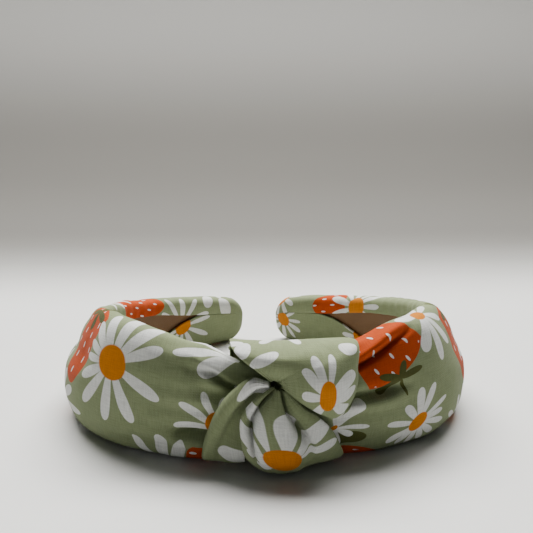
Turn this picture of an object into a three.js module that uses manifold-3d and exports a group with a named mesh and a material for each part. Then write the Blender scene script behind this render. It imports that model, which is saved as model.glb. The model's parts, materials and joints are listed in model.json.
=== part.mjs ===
// Knotted headband: a springy plastic band with a tan lining, foam wadding and a printed cotton cover,
// and a gathered strip of the same cotton tied round the middle.
// Millimetres, +Z up. The band stands on its lower rim, the knot faces -Y and the two tips point to +Y.
// "Left" is -X and "right" is +X. Places on the band are given as (s, r, z): s runs along the band from
// the middle of the crown, negative to the left, r points away from the head, and z is the height.

import * as THREE from 'three';
import { mergeVertices } from 'three/addons/utils/BufferGeometryUtils.js';
import Module from 'manifold-3d';

const wasm = await Module();
wasm.setup();

// Plan curve of one arm, from the middle of the crown to the tip
const crown_radius = 98;
const crown_sweep = THREE.MathUtils.degToRad(22);
const shoulder_radius = 41.5;
const shoulder_sweep = THREE.MathUtils.degToRad(68);
const side_radius = 59;
const side_sweep = THREE.MathUtils.degToRad(56);
const tip_run = 33.5;
const arm_arcs = [[crown_radius, crown_sweep], [shoulder_radius, shoulder_sweep], [side_radius, side_sweep]];
const arm_length = arm_arcs.reduce((sum, [radius, sweep]) => sum + radius * sweep, tip_run);

// Covered band, as [share of the arm's length, size]. The rim padding is how far the covered band stands
// past each edge of the plastic.
const rim_paddings = [[0, 4], [0.11, 4.8], [0.19, 6.8], [0.3, 7.9], [0.42, 7.7], [0.53, 7.1],
  [0.64, 6.2], [0.78, 5.7], [0.91, 5.5], [1, 4.75]];
const cover_bulges = [[0, 9], [0.11, 9], [0.19, 9.8], [0.3, 10.4], [0.42, 10.4], [0.53, 10.2],
  [0.64, 9.6], [0.78, 8.5], [0.91, 7], [1, 5.4]];
const cover_leans = [[0, 0], [0.11, 0], [0.19, 2], [0.3, 5], [0.42, 9], [0.53, 12],
  [0.64, 13], [0.78, 12], [0.91, 10], [1, 8]];
const lean_pivot_share = 0.45;
const edge_radius = 4.4;
const rim_flat = 1.5;

// Layers, from the inner face outwards
const fit_gap = 0.3;
const hem_face = -3.6;
const cloth_thickness = 1.2;
const lining_thickness = 0.7;
const core_thickness = 1.6;
const lining_in = hem_face + cloth_thickness + fit_gap;
const core_in = lining_in + lining_thickness + fit_gap;
const core_out = core_in + core_thickness;
const wadding_in = core_out + fit_gap;

// Plastic band and lining
const core_height_crown = 26;
const core_height_tip = 11;
const core_taper_start = 60;
const core_tip_inset = 5;
const lining_edge_inset = 0.5;
const lining_tip_inset = 21;
const hem_overlap = 4;

// Where the plastic flexes beside the knot: the hinge stands just outside the cover
const flex_station = 35;
const flex_pivot_r = 12.4;
const flex_inward_range = THREE.MathUtils.degToRad(3);

// Cloth wrapped round each tip
const wrap_start_inset = 13;
const wrap_round_length = 9;
const wrap_overhang = 1;
const wrap_end_share = 0.3;

// Knot strip
const knot_lift = 1.4;
const knot_lift_end = 20;
const knot_lift_fade = 33;
const strip_thickness = 2.2;
const strip_half_width = 15;
const knot_half_width = 27;
const knot_reach = 30;
const lobe_thickness = 4.6;
const lobe_over_top = 3.2;
const pouch_thickness = 7;
const fold_rounding = 3;

// Outlines of the knot's folds seen from the front, as [x, share of the crown's covered height]
const pouch_centre_x = 0.8;
const pouch_half_width = 9.3;
const pouch_share = 0.626;
const lobe_outline = [[-14, 1.2], [25, 1.2], [25.2, 0.83], [22.7, 0.583], [16.6, 0.476], [8.3, 0.591],
  [1.5, 0.77], [-4.3, 0.909], [-13.5, 1.07]];
const left_flap_outline = [[0.3, 0.754], [-7.8, 0.775], [-16.3, 0.505], [-20.8, 0.147], [-13, 0.1],
  [-4, 0.107]];
const right_flap_outline = [[1.2, 0.754], [8.2, 0.578], [13, 0.513], [16.8, 0.444], [20.6, 0.128],
  [6, 0.107]];

// How finely the band is cut up
const arm_steps = 24;
const step_length = arm_length / arm_steps;
const shortest_step = 1.2;
const round_steps = 5;
const corner_steps = 3;
const face_rows = 4;

const cotton = { color: 0x8f987a, roughness: 0.9, metalness: 0 };
const ribbon = { color: 0x7c603a, roughness: 0.85, metalness: 0 };
const plastic = { color: 0xd9d6cc, roughness: 0.5, metalness: 0 };
const foam = { color: 0xe8e4da, roughness: 0.95, metalness: 0 };

// Smooth curve through [share, size] stations, read at a distance along the arm
function alongArm(stations) {
  const shares = stations.map((station) => station[0]);
  const sizes = stations.map((station) => station[1]);
  const curve = new THREE.CubicInterpolant(shares, sizes, 1, [0]);
  return (s) => curve.evaluate(Math.min(Math.abs(s) / arm_length, 1))[0];
}

const rimPadding = alongArm(rim_paddings);
const coverBulge = alongArm(cover_bulges);
const coverLean = alongArm(cover_leans);

function coreHeight(s) {
  const tapered = Math.max(Math.abs(s) - core_taper_start, 0) / (arm_length - core_taper_start);
  return THREE.MathUtils.lerp(core_height_crown, core_height_tip, tapered);
}

function coverHeight(s) {
  return coreHeight(s) + 2 * rimPadding(s);
}

// The covered band is lifted off the table where the knot strip passes under it
function rimHeight(s) {
  return knot_lift * (1 - THREE.MathUtils.smoothstep(Math.abs(s), knot_lift_end, knot_lift_fade));
}

function middleHeight(s) {
  return rimHeight(s) + coverHeight(s) / 2;
}

function topHeight(s) {
  return rimHeight(s) + coverHeight(s);
}

// Point and heading on the right arm's plan curve
function armPoint(s) {
  let x = 0;
  let y = 0;
  let heading = 0;
  let left = s;
  for (const [radius, sweep] of arm_arcs) {
    const used = Math.min(left, radius * sweep);
    const next = heading + used / radius;
    x += radius * (Math.sin(next) - Math.sin(heading));
    y += radius * (Math.cos(heading) - Math.cos(next));
    heading = next;
    left -= used;
  }
  return { x: x + left * Math.cos(heading), y: y + left * Math.sin(heading), heading };
}

// (s, r, z) on the band to a point in space, with the section leaning towards the head
function bandPoint(s, r, z) {
  const { x, y, heading } = armPoint(Math.abs(s));
  const lean = Math.tan(THREE.MathUtils.degToRad(coverLean(s)));
  const out = r - (z - lean_pivot_share * coverHeight(s)) * lean;
  const side = s < 0 ? -1 : 1;
  return new THREE.Vector3(side * (x + out * Math.sin(heading)), y - out * Math.cos(heading), z);
}

function signedVolume(geometry) {
  const index = geometry.getIndex();
  const corners = geometry.getAttribute('position');
  const [a, b, c] = [new THREE.Vector3(), new THREE.Vector3(), new THREE.Vector3()];
  let volume = 0;
  for (let i = 0; i < index.count; i += 3) {
    a.fromBufferAttribute(corners, index.getX(i));
    b.fromBufferAttribute(corners, index.getX(i + 1));
    c.fromBufferAttribute(corners, index.getX(i + 2));
    volume += a.dot(b.cross(c)) / 6;
  }
  return volume;
}

// Merged, closed and with its faces pointing out
function closeSolid(geometry) {
  geometry.deleteAttribute('normal');
  geometry.deleteAttribute('uv');
  const closed = mergeVertices(geometry, 1e-4);
  if (signedVolume(closed) < 0) {
    const order = closed.getIndex().array;
    for (let i = 0; i < order.length; i += 3) {
      [order[i], order[i + 1]] = [order[i + 1], order[i]];
    }
  }
  return closed;
}

// Every piece is cut up at the same stations, so that nested layers keep their gap between stations too
function stationsBetween(from, to) {
  const low = Math.min(from, to);
  const high = Math.max(from, to);
  const grid = Array.from({ length: 2 * arm_steps + 1 }, (_, k) => (k - arm_steps) * step_length);
  const inside = grid.filter((s) => s > low + shortest_step && s < high - shortest_step);
  return [low, ...inside, high];
}

// Extrudes the first section, then moves each ring of points to its own section on the band.
// sectionAt(s) gives the outline as [r, z] points, and stationAt(s, r) may slant an end.
function loft(sectionAt, from, to, stationAt = (s) => s) {
  const sections = stationsBetween(from, to).map((s) => ({ s, outline: sectionAt(s) }));
  const steps = sections.length - 1;
  const first = sections[0].outline.map(([r, z]) => new THREE.Vector2(r, z));
  const settings = { depth: steps, steps, bevelEnabled: false };
  const geometry = new THREE.ExtrudeGeometry(new THREE.Shape(first), settings);
  const corners = geometry.getAttribute('position');
  for (let i = 0; i < corners.count; i += 1) {
    const here = new THREE.Vector2(corners.getX(i), corners.getY(i));
    const distances = first.map((point) => point.distanceTo(here));
    const { s, outline } = sections[Math.round(corners.getZ(i))];
    const [r, z] = outline[distances.indexOf(Math.min(...distances))];
    const place = bandPoint(stationAt(s, r), r, z);
    corners.setXYZ(i, place.x, place.y, place.z);
  }
  return closeSolid(geometry);
}

function toSolid(geometry) {
  const vertProperties = new Float32Array(geometry.getAttribute('position').array);
  const triVerts = new Uint32Array(geometry.getIndex().array);
  return new wasm.Manifold(new wasm.Mesh({ numProp: 3, vertProperties, triVerts }));
}

function toGeometry(solid) {
  const { vertProperties, triVerts } = solid.getMesh();
  const geometry = new THREE.BufferGeometry();
  geometry.setAttribute('position', new THREE.BufferAttribute(vertProperties, 3));
  geometry.setIndex(new THREE.BufferAttribute(triVerts, 1));
  return geometry;
}

// Points on an ellipse from one angle to another, in degrees
function ellipse(centre, radii, from, to, steps, fullness = 1) {
  return Array.from({ length: steps + 1 }, (_, k) => {
    const angle = THREE.MathUtils.degToRad(THREE.MathUtils.lerp(from, to, k / steps));
    const across = Math.sign(Math.cos(angle)) * Math.abs(Math.cos(angle)) ** fullness;
    const up = Math.sign(Math.sin(angle)) * Math.abs(Math.sin(angle)) ** fullness;
    return [centre[0] + radii[0] * across, centre[1] + radii[1] * up];
  });
}

// Outer half of the section, from the flat of the lower rim to the flat of the upper rim
function bulgePath(s, inset) {
  const start = wadding_in + rim_flat;
  const radii = [coverBulge(s) - inset - start, coverHeight(s) / 2 - inset];
  return ellipse([start, middleHeight(s)], radii, -90, 90, 2 * round_steps, 0.86);
}

// Whole way round the section, from the lower hem edge to the upper one
function wrapPath(s, inset) {
  const edge = coreHeight(s) / 2 - hem_overlap;
  const face = hem_face + inset;
  const corner = [wadding_in - rim_flat - face, edge_radius - inset];
  const low = [wadding_in - rim_flat, rimHeight(s) + edge_radius];
  const high = [wadding_in - rim_flat, topHeight(s) - edge_radius];
  return [
    [face, middleHeight(s) - edge],
    ...ellipse(low, corner, 180, 270, corner_steps),
    ...bulgePath(s, inset),
    ...ellipse(high, corner, 90, 180, corner_steps),
    [face, middleHeight(s) + edge],
  ];
}

function coverSection(s) {
  return [...wrapPath(s, 0), ...wrapPath(s, cloth_thickness).reverse()];
}

// Upright face cut into rows, because a tall warped face would bow into the next layer
function uprightFace(r, from, to) {
  return Array.from({ length: face_rows + 1 }, (_, k) => [r, THREE.MathUtils.lerp(from, to, k / face_rows)]);
}

function waddingSection(s) {
  const bulge = bulgePath(s, cloth_thickness + fit_gap);
  return [...bulge, ...uprightFace(wadding_in, bulge.at(-1)[1], bulge[0][1])];
}

function stripSection(inner, outer, low, high) {
  return [...uprightFace(outer, low, high), ...uprightFace(inner, high, low)];
}

function coreSection(s) {
  const half = coreHeight(s) / 2;
  return stripSection(core_in, core_out, middleHeight(s) - half, middleHeight(s) + half);
}

function liningSection(s) {
  const half = coreHeight(s) / 2 - lining_edge_inset;
  const outer = lining_in + lining_thickness;
  return stripSection(lining_in, outer, middleHeight(s) - half, middleHeight(s) + half);
}

// The end faces at the hinge slant, so that the arm can also close inwards a little
function flexSlant(direction) {
  return (s, r) => {
    const reach = Math.max(0, 1 - Math.abs(Math.abs(s) - flex_station) / step_length);
    const slant = (flex_pivot_r - r) * Math.tan(flex_inward_range / 2) * 1.1;
    return s + Math.sign(s) * direction * reach * slant;
  };
}

function centrePiece(section) {
  const end = flex_station - fit_gap / 2;
  return loft(section, -end, end, flexSlant(-1));
}

function centreHalf(section, side) {
  return loft(section, side * fit_gap / 2, side * (flex_station - fit_gap / 2), flexSlant(-1));
}

function armPiece(section, side, end) {
  return loft(section, side * (flex_station + fit_gap / 2), side * end, flexSlant(1));
}

// Cotton folded round the tip, with a pocket for the end of the plastic
function endWrap(side) {
  const start = arm_length - wrap_start_inset;
  const end = arm_length + wrap_overhang;
  const shrink = (s) => {
    const along = Math.max(0, (Math.abs(s) - (end - wrap_round_length)) / wrap_round_length);
    return Math.max(wrap_end_share, Math.sqrt(1 - Math.min(along, 1) ** 2));
  };
  const section = (s) => {
    const middle = [(hem_face + coverBulge(s)) / 2, middleHeight(s)];
    const share = shrink(s);
    return wrapPath(s, 0).map(([r, z]) => [
      THREE.MathUtils.lerp(middle[0], r, share),
      THREE.MathUtils.lerp(middle[1], z, share),
    ]);
  };
  const pocketSection = (s) => {
    const half = coreHeight(s) / 2 + fit_gap;
    const middle = middleHeight(s);
    return stripSection(core_in - fit_gap, core_out + fit_gap, middle - half, middle + half);
  };
  const body = toSolid(loft(section, side * start, side * end));
  const pocketEnd = arm_length - core_tip_inset + fit_gap;
  const pocket = toSolid(loft(pocketSection, side * (start - 1), side * pocketEnd));
  return toGeometry(body.subtract(pocket));
}

// Prism through the knot from front to back, from an outline of [x, z] points
function knotPrism(outline) {
  const shape = new THREE.Shape(outline.map(([x, z]) => new THREE.Vector2(x, z)));
  const geometry = new THREE.ExtrudeGeometry(shape, { depth: 2 * knot_reach, bevelEnabled: false });
  geometry.rotateX(Math.PI / 2);
  geometry.translate(0, knot_reach, 0);
  return toSolid(closeSolid(geometry));
}

function atKnotHeight(outline) {
  return outline.map(([x, share]) => [x, share * topHeight(0)]);
}

function pouchOutline(grow) {
  const half_height = pouch_share * topHeight(0) / 2;
  const radii = [pouch_half_width + grow, half_height + grow];
  return ellipse([pouch_centre_x, half_height], radii, 0, 350, 35);
}

// Cloth in front of the cover and hooked over its upper rim, as a section of the knot
function lobeSection(s) {
  const back = hem_face - fit_gap - strip_thickness;
  const inner = coverBulge(s) + fit_gap;
  const front = inner + lobe_thickness;
  const under = topHeight(s) + fit_gap;
  const top = under + lobe_over_top;
  const foot = topHeight(0) / 3;
  return [[inner, foot], [front - fold_rounding, foot], [front, foot + fold_rounding],
    [front, top - fold_rounding], [front - fold_rounding, top], [back + fold_rounding, top],
    [back, top - fold_rounding], [back, under], [inner, under]];
}

// Cloth in front of the cover only
function flapSection(s) {
  const inner = coverBulge(s) + fit_gap;
  return stripSection(inner, inner + lobe_thickness, fold_rounding, topHeight(0));
}

// Cloth in front of the cover and tucked under its lower rim
function pouchSection(s) {
  const back = hem_face - fit_gap - strip_thickness;
  const inner = coverBulge(s) + fit_gap;
  const front = inner + pouch_thickness;
  const under = rimHeight(s) - fit_gap;
  const top = pouch_share * topHeight(0) + fit_gap;
  const shoulder = 0.7 * top;
  return [[back, 0], [front - 2 * fold_rounding, 0], [front - fold_rounding, fold_rounding],
    [front, 3 * fold_rounding], [front, shoulder], [front - fold_rounding, top], [inner, top],
    [inner, under], [back, under]];
}

function knotLoft(section) {
  return toSolid(loft(section, -knot_half_width, knot_half_width));
}

function knotTopLobe() {
  return toGeometry(knotLoft(lobeSection).intersect(knotPrism(atKnotHeight(lobe_outline))));
}

function knotPouch() {
  return toGeometry(knotLoft(pouchSection).intersect(knotPrism(pouchOutline(0))));
}

function knotFlap(outline) {
  const flap = knotLoft(flapSection).intersect(knotPrism(atKnotHeight(outline)));
  return toGeometry(flap.subtract(knotPrism(pouchOutline(fit_gap))));
}

function knotBackBand() {
  const section = (s) => stripSection(
    hem_face - fit_gap - strip_thickness,
    hem_face - fit_gap,
    rimHeight(s) + fit_gap,
    topHeight(s) - fit_gap,
  );
  return loft(section, -strip_half_width, strip_half_width);
}

const group = new THREE.Group();

function addPart(name, finish, geometry) {
  const mesh = new THREE.Mesh(geometry, new THREE.MeshStandardMaterial(finish));
  mesh.name = name;
  group.add(mesh);
}

addPart('band_core_front', plastic, centrePiece(coreSection));
addPart('lining_front', ribbon, centrePiece(liningSection));
addPart('wadding_front', foam, centrePiece(waddingSection));
addPart('knot_top_lobe', cotton, knotTopLobe());
addPart('knot_left_flap', cotton, knotFlap(left_flap_outline));
addPart('knot_pouch', cotton, knotPouch());
addPart('knot_right_flap', cotton, knotFlap(right_flap_outline));
addPart('knot_back_band', cotton, knotBackBand());

for (const [name, side] of [['left', -1], ['right', 1]]) {
  const wrapStart = arm_length - wrap_start_inset;
  addPart(`cover_${name}_front`, cotton, centreHalf(coverSection, side));
  addPart(`cover_${name}_arm`, cotton, armPiece(coverSection, side, wrapStart - fit_gap));
  addPart(`wadding_${name}_arm`, foam, armPiece(waddingSection, side, wrapStart - fit_gap));
  addPart(`lining_${name}_arm`, ribbon, armPiece(liningSection, side, arm_length - lining_tip_inset));
  addPart(`band_core_${name}_arm`, plastic, armPiece(coreSection, side, arm_length - core_tip_inset));
  addPart(`end_wrap_${name}`, cotton, endWrap(side));
}

// The origin is under the middle of the whole headband
const middle = new THREE.Box3().setFromObject(group).getCenter(new THREE.Vector3());
group.position.set(-middle.x, -middle.y, 0);

export default group;
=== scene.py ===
import json
import math

import bmesh
import bpy
import numpy as np
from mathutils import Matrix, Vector


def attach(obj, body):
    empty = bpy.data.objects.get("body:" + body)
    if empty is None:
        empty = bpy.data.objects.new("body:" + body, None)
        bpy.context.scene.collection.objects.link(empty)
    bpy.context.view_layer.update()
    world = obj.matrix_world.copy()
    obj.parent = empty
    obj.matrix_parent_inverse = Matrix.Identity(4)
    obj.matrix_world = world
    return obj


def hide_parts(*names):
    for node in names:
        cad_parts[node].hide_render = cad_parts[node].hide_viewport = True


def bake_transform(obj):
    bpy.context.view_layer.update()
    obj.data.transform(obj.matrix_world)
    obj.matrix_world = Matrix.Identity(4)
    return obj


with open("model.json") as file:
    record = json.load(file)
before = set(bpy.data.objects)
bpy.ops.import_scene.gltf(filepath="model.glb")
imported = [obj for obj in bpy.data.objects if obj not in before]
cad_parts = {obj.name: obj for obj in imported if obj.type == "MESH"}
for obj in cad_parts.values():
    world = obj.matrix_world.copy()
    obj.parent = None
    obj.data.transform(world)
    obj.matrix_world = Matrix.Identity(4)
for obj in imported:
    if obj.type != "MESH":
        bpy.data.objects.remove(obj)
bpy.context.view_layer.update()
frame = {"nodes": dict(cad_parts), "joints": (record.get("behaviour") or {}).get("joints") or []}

MM = 0.001

# ---------------------------------------------------------------- the band's own sizes, in millimetres
# Places on the band are (s, r, z): s runs along the band from the middle of the crown, r points away
# from the head and z is the height. Left is the side of negative s.
ARM_ARCS = ((98.0, math.radians(22)), (41.5, math.radians(68)), (59.0, math.radians(56)))
TIP_RUN = 33.5
ARM_LENGTH = TIP_RUN + sum(radius * sweep for radius, sweep in ARM_ARCS)
TIP_END = ARM_LENGTH + 1.0
TIP_ROUND = 9.0

RIM_PADDINGS = ((0, 4), (0.11, 4.8), (0.19, 6.8), (0.3, 7.9), (0.42, 7.7), (0.53, 7.1),
                (0.64, 6.2), (0.78, 5.7), (0.91, 5.5), (1, 4.75))
BULGES = ((0, 9), (0.11, 9), (0.19, 9.8), (0.3, 10.4), (0.42, 10.4), (0.53, 10.2),
          (0.64, 9.6), (0.78, 8.5), (0.91, 7), (1, 5.4))
LEANS = ((0, 0), (0.11, 0), (0.19, 2), (0.3, 5), (0.42, 9), (0.53, 12),
         (0.64, 13), (0.78, 12), (0.91, 10), (1, 8))
LEAN_PIVOT_SHARE = 0.45
CORE_HEIGHT_CROWN = 26.0
CORE_HEIGHT_TIP = 11.0
CORE_TAPER_START = 60.0
KNOT_LIFT = 1.4
KNOT_LIFT_END = 20.0
KNOT_LIFT_FADE = 33.0

KNOT_PULL = {-1: 1.5, 1: 2.8}
SIDE_PRESS = {-1: 2.8, 1: 1.6}
KNOT_PULL_FULL = 12.0
KNOT_PULL_END = 44.0

HEM_FACE = -3.6
EDGE_RADIUS = 5.2
BULGE_START = 1.4
COTTON_THICKNESS = 0.8
LINING_FACE = -2.2
LINING_THICKNESS = 0.7
LINING_END = 156.0
WADDING_FACE = 0.8
WADDING_INSET = 2.6
WADDING_CREASE_ROOM = 2.6
WADDING_ROOM_END = 100.0
WADDING_FULL = 125.0

FLEX_STATION = 35.0
FLEX_PIVOT_R = 12.4
# Along this direction, a span round each arm's hinge reaches BLEND_BEFORE ahead of it
# and BLEND_AFTER behind it
BLEND_DIRECTION = Vector((0.6, 0.8, 0))
BLEND_BEFORE = 13.0
BLEND_AFTER = 22.0


def smooth_curve(stations):
    """A smooth curve through (share, size) stations, read at a distance along the arm."""
    shares, sizes = np.array(stations, float).T
    slopes = np.gradient(sizes, shares)

    def read(s):
        share = np.clip(np.abs(s) / ARM_LENGTH, 0, 1)
        k = np.clip(np.searchsorted(shares, share, side="right") - 1, 0, len(shares) - 2)
        span = shares[k + 1] - shares[k]
        t = (share - shares[k]) / span
        return ((2 * t**3 - 3 * t**2 + 1) * sizes[k] + (t**3 - 2 * t**2 + t) * span * slopes[k]
                + (3 * t**2 - 2 * t**3) * sizes[k + 1] + (t**3 - t**2) * span * slopes[k + 1])

    return read


rim_padding = smooth_curve(RIM_PADDINGS)
bulge = smooth_curve(BULGES)
lean = smooth_curve(LEANS)


def smoothstep(value, low, high):
    t = np.clip((value - low) / (high - low), 0, 1)
    return t * t * (3 - 2 * t)


def between(value, start, full, fade, end):
    """Smoothly from 0 at start to 1 at full, and from 1 at fade to 0 at end."""
    return smoothstep(value, start, full) * (1 - smoothstep(value, fade, end))


def core_height(s):
    tapered = max(abs(s) - CORE_TAPER_START, 0) / (ARM_LENGTH - CORE_TAPER_START)
    return CORE_HEIGHT_CROWN + (CORE_HEIGHT_TIP - CORE_HEIGHT_CROWN) * tapered


def cover_height(s):
    return core_height(s) + 2 * rim_padding(s)


def rim_height(s):
    return KNOT_LIFT * (1 - smoothstep(abs(s), KNOT_LIFT_END, KNOT_LIFT_FADE))


def middle_height(s):
    return rim_height(s) + cover_height(s) / 2


def arm_point(s):
    """x, y and heading on the right arm's plan curve, from the crown."""
    x = y = heading = 0.0
    left = s
    for radius, sweep in ARM_ARCS:
        used = min(left, radius * sweep)
        turned = heading + used / radius
        x += radius * (math.sin(turned) - math.sin(heading))
        y += radius * (math.cos(heading) - math.cos(turned))
        heading = turned
        left -= used
    return x + left * math.cos(heading), y + left * math.sin(heading), heading


def on_band(s, r, z):
    """(s, r, z) to a point in millimetres, with the crown of the band at y = 0."""
    x, y, heading = arm_point(abs(s))
    tilt = math.tan(math.radians(lean(s)))
    out = r - (z - LEAN_PIVOT_SHARE * cover_height(s)) * tilt
    side = -1 if s < 0 else 1
    return side * (x + out * math.sin(heading)), y - out * math.cos(heading), z


flex_place = {joint["child"]: joint["pos_m"] for joint in frame["joints"]}
_, crown_pivot_y, crown_heading = arm_point(FLEX_STATION)
CROWN_Y = flex_place["right_arm"][1] / MM - (crown_pivot_y - FLEX_PIVOT_R * math.cos(crown_heading))


def squeezed(s, z):
    """Height after the knot strip has pulled the cover down beside it, more on the right."""
    pull = KNOT_PULL[1 if s > 0 else -1] * (1 - smoothstep(abs(s), KNOT_PULL_FULL, KNOT_PULL_END))
    return z - pull * max(z - rim_height(s), 0) / cover_height(s)


def placed(s, r, z):
    x, y, z = on_band(s, r, z)
    return x * MM, (y + CROWN_Y) * MM, z * MM


# ---------------------------------------------------------------- making meshes
def cloth_grid(name, points, flat, out_of):
    """A sheet through a grid of points, with the flat cloth's own millimetres as its UV map.
    Its faces look away from out_of, a point."""
    columns, rows = points.shape[0] - 1, points.shape[1] - 1
    bm = bmesh.new()
    bmesh.ops.create_grid(bm, x_segments=columns, y_segments=rows, size=0.5)
    cloth_uv = bm.loops.layers.uv.new("cloth")
    place = {}
    for vertex in bm.verts:
        place[vertex] = (round((vertex.co.x + 0.5) * columns), round((vertex.co.y + 0.5) * rows))
    for face in bm.faces:
        face.smooth = True
        for loop in face.loops:
            loop[cloth_uv].uv = flat[place[loop.vert]]
    for vertex, spot in place.items():
        vertex.co = points[spot]
    bmesh.ops.remove_doubles(bm, verts=bm.verts, dist=0.00001)
    bm.normal_update()
    centre = np.array(out_of, float)
    facing = sum((face.calc_center_median() - Vector(centre)).dot(face.normal) * face.calc_area()
                 for face in bm.faces)
    if facing < 0:
        turn_over(bm)
    return finish_mesh(name, bm)


def finish_mesh(name, bm):
    mesh = bpy.data.meshes.new(name)
    bm.to_mesh(mesh)
    bm.free()
    piece = bpy.data.objects.new(name, mesh)
    bpy.context.scene.collection.objects.link(piece)
    return piece


def change_mesh(piece, change):
    bm = bmesh.new()
    bm.from_mesh(piece.data)
    change(bm)
    bm.to_mesh(piece.data)
    bm.free()


def turn_over(bm):
    bmesh.ops.reverse_faces(bm, faces=bm.faces)


def close_up(bm):
    bmesh.ops.holes_fill(bm, edges=[edge for edge in bm.edges if edge.is_boundary], sides=0)
    bmesh.ops.recalc_face_normals(bm, faces=bm.faces)


def thicken(piece, thickness):
    solidify = piece.modifiers.new("thickness", "SOLIDIFY")
    solidify.thickness = thickness * MM
    solidify.offset = -1
    solidify.use_even_offset = False


def soften(piece):
    subdivision = piece.modifiers.new("smooth", "SUBSURF")
    subdivision.levels = 1
    subdivision.render_levels = 1


def spline_grid(ribs, across, along):
    """Catmull-Rom surface through ribs of given points, cut finer in both directions."""
    return spline_along(spline_along(np.array(ribs, float), along, 1), across, 0)


def spline_along(points, cuts, axis):
    p = np.moveaxis(points, axis, 0)
    padded = np.concatenate([2 * p[:1] - p[1:2], p, 2 * p[-1:] - p[-2:-1]])
    rows = []
    for k in range(len(p) - 1):
        a, b, c, d = padded[k:k + 4]
        for t in np.arange(cuts) / cuts:
            rows.append(0.5 * (2 * b + (c - a) * t + (2 * a - 5 * b + 4 * c - d) * t**2
                               + (3 * b - 3 * c + d - a) * t**3))
    rows.append(p[-1])
    return np.moveaxis(np.array(rows), 0, axis)


def grid_normals(points):
    along = np.gradient(points, axis=0)
    across = np.gradient(points, axis=1)
    normals = np.cross(along, across)
    length = np.linalg.norm(normals, axis=2, keepdims=True)
    return normals / np.maximum(length, 1e-12)


def ripple(u, v, seed):
    """Soft uneven swelling from -1 to 1, for cloth that is not quite smooth."""
    a = np.sin(0.19 * u + 1.7 * seed) * np.sin(0.23 * v + 2.9 * seed)
    b = np.sin(0.41 * u - 0.17 * v + 4.1 * seed) * 0.6
    c = np.sin(0.33 * v + 0.27 * u + 0.7 * seed) * 0.5
    return (a + b + c) / 2.1


def crease(u, v, start, end, width, fade=0.35):
    """1 along a line on the flat cloth, falling to 0 at its sides and at its far end."""
    du, dv = end[0] - start[0], end[1] - start[1]
    length = math.hypot(du, dv)
    t = ((u - start[0]) * du + (v - start[1]) * dv) / length**2
    off = ((v - start[1]) * du - (u - start[0]) * dv) / length
    ends = smoothstep(t, -0.12, 0.05) * (1 - smoothstep(t, 1 - fade, 1.0))
    return np.exp(-(off / width) ** 2) * ends


# ---------------------------------------------------------------- covers
SLEEVE_COLUMNS = 210
TIP_COLUMNS = 14
SLEEVE_ROWS = 96
WINDOW_SHARE = 0.92
CLOSING_START = 122.0
CLOSING_END = 157.0

# How the cloth swells and folds, in millimetres: depths, and where each kind starts and ends
RIPPLE_DEPTH = 0.28
GATHER_DEPTH = 0.55
GATHER_START = 18.0
GATHER_REACH = 9.0
PUCKER_DEPTH = 0.10
PUCKERS = (60, 80, 150, 165)
SIDE_PRESS_ALONG = (50, 64, 86, 112)
SIDE_PRESS_UP = (-1, 8, 17, 27)
KNOT_GRIP = 2.2
KNOT_GRIP_FULL = 9.0
KNOT_GRIP_END = 18.0
KNOT_EDGE = (16.5, 21)

# Creases as (start, end, width, depth, ridge): start and end in flat cloth millimetres (along the band,
# up the cloth), ridge 1 for a roll above the crease and -1 for one below. A negative depth is a swell.
CREASES = {
    -1: (((-8.5, 6.5), (-20.5, 14.3), 1.2, 3.4, 1), ((-13, -9.2), (-31, -9.2), 1.25, 4.4, -1),
         ((-14, 3), (-27, 17), 2.6, 0.8, 1), ((-30, -13), (-52, -15), 2.0, 0.7, -1),
         ((-9, 9), (-24, 20), 1.8, 1.0, 1), ((-12, -16.5), (-34, -17.5), 3.2, -1.5, 1)),
    1: (((17, 10.4), (46, 20.9), 1.0, 2.9, 1), ((16, 3.6), (42, 3.2), 1.4, 2.8, -1),
        ((20, -13), (40, -12), 2.4, 0.8, -1), ((26, 13), (52, 15), 2.2, 0.6, 1)),
}


def window_edges(s):
    """Heights of the lower and upper hem on the inner face. They meet in a slant before the tip."""
    half = core_height(s) / 2 * WINDOW_SHARE
    close = smoothstep(abs(s), CLOSING_START, CLOSING_END)
    high = middle_height(s) + half * (1 - 0.25 * close)
    low = middle_height(s) - half
    return low + (high - low) * min(close, 1.0), high


def superellipse(centre, radii, start, end, fullness, steps=24):
    angles = np.radians(np.linspace(start, end, steps))
    across = np.sign(np.cos(angles)) * np.abs(np.cos(angles)) ** fullness
    up = np.sign(np.sin(angles)) * np.abs(np.sin(angles)) ** fullness
    return np.stack([centre[0] + radii[0] * across, centre[1] + radii[1] * up], axis=1)


def sleeve_section(s, inset=0.0):
    """Way round the covered band, from the lower hem to the upper one, and the index of its widest point."""
    face = HEM_FACE + inset
    middle, half = middle_height(s), cover_height(s) / 2 - inset
    corner = (BULGE_START - face, EDGE_RADIUS)
    low, high = window_edges(s)
    lower = superellipse((BULGE_START, middle - half + EDGE_RADIUS), corner, 180, 270, 0.8, 12)
    bulging = superellipse((BULGE_START, middle), (bulge(s) - inset - BULGE_START, half), -90, 90, 0.9, 41)
    upper = superellipse((BULGE_START, middle + half - EDGE_RADIUS), corner, 90, 180, 0.8, 12)
    path = np.concatenate([[(face, low)], lower, bulging[1:-1], upper, [(face, high)]])
    return path, len(lower) + 20


def tip_share(s):
    along = np.clip((abs(s) - (TIP_END - TIP_ROUND)) / TIP_ROUND, 0, 1)
    return max(0.02, math.sqrt(1 - along**2))


def sleeve_stations(columns, start=0.4):
    straight = np.linspace(start, TIP_END - TIP_ROUND, columns - TIP_COLUMNS + 1)
    angles = np.linspace(0, math.pi / 2, TIP_COLUMNS + 1)[1:]
    return np.concatenate([straight, TIP_END - TIP_ROUND + TIP_ROUND * np.sin(angles)])


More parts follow.
